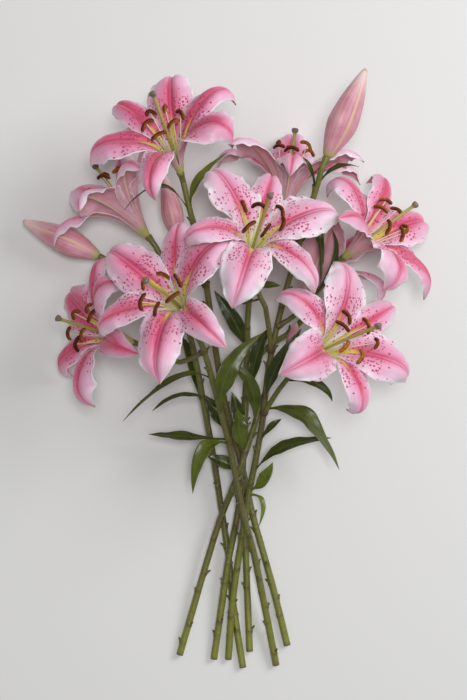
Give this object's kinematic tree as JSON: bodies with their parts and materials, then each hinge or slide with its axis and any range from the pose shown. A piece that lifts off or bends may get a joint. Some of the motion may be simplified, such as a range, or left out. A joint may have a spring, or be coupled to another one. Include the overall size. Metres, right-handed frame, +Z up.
{
  "type": "cut lily bouquet",
  "caption": "Bunch of cut pink lilies lying down: open flowers, closed buds and leafy stems that cross low down and fan out.",
  "frame": {"origin": "middle of the foot of the bunch's bounding box, on the surface that it lies on", "axes": "+Z up from the surface; +Y from the cut ends to the flowers; +X to the right, seen from above with the flowers at the top"},
  "size_m": [0.471, 0.6845, 0.2339],
  "materials": {
    "petal": "satin, pale pink with white wavy margins, a rose midrib and crimson spots",
    "bud": "satin dusty pink with cream seams",
    "stamen": "pale green filaments and style, matt rust-brown anthers",
    "stem": "satin yellow-green, browner higher up, with brown leaf scars",
    "leaf": "satin dark green with fine parallel veins"
  },
  "bodies": {
    "root": {"stem_front_left": "stem", "stem_far_left": "stem", "stem_main_right": "stem", "stem_low_right": "stem", "stem_back_right": "stem", "stem_back_top": "stem", "stem_top_left": "stem", "petals_middle": "petal", "stamens_middle": "stamen", "petals_low_left": "petal", "stamens_low_left": "stamen", "petals_low_right": "petal", "stamens_low_right": "stamen", "petals_top_left": "petal", "stamens_top_left": "stamen", "petals_right": "petal", "stamens_right": "stamen", "petals_far_left": "petal", "stamens_far_left": "stamen", "petals_back_left": "petal", "stamens_back_left": "stamen", "petals_back_top": "petal", "stamens_back_top": "stamen", "petals_back_right": "petal", "stamens_back_right": "stamen", "bud_top": "bud", "bud_left": "bud", "bud_back": "bud", "bud_small": "bud", "leaf_left_long": "leaf", "leaf_left_short": "leaf", "leaf_left_level": "leaf", "leaf_left_bright": "leaf", "leaf_heart": "leaf", "leaf_right_long": "leaf", "leaf_right_level": "leaf", "leaf_right_bright": "leaf", "leaf_right_low": "leaf", "leaf_right_small": "leaf", "leaf_right_upper": "leaf", "leaf_right_arch": "leaf", "leaf_right_end": "leaf", "leaf_right_spear": "leaf", "leaf_heart_right": "leaf", "leaf_heart_left": "leaf", "leaf_bud_left": "leaf", "leaf_bud_right": "leaf", "leaf_inner_right": "leaf", "leaf_inner_top": "leaf", "leaf_dark_left": "leaf", "leaf_dark_middle": "leaf", "leaf_dark_low": "leaf", "leaf_dark_top": "leaf", "leaf_top_right": "leaf", "leaf_top_left": "leaf", "leaf_dark_upper": "leaf", "leaf_dark_right": "leaf", "leaf_dark_broad": "leaf"}
  },
  "joints": []
}
